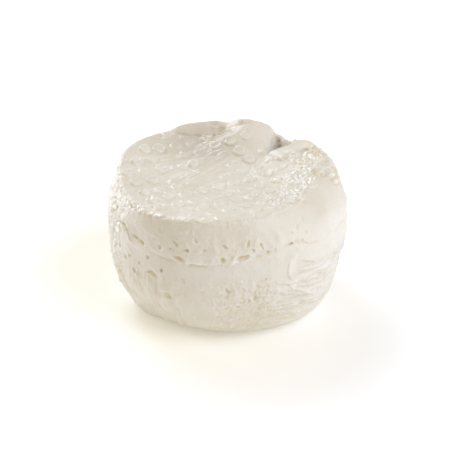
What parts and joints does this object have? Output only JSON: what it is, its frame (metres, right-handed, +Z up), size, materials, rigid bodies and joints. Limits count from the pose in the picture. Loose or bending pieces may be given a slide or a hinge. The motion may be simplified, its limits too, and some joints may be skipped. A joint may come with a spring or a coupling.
{
  "type": "fresh goat cheese",
  "caption": "Whole fresh goat cheese: a soft white drum of curd with a bulging side, a narrow flat base and a dished top dotted with round drain-hole marks.",
  "frame": {"origin": "middle of the flat base that the cheese stands on, on the drum's axis", "axes": "+Z up along the drum's axis, front of the cheese facing -Y, valley in the rim at the back right (+X, +Y)"},
  "size_m": [0.0807, 0.08, 0.0492],
  "materials": {
    "curd": "moist ivory-white curd, soft satin sheen, translucent at thin edges"
  },
  "bodies": {
    "root": {"cheese": "curd"}
  },
  "joints": []
}
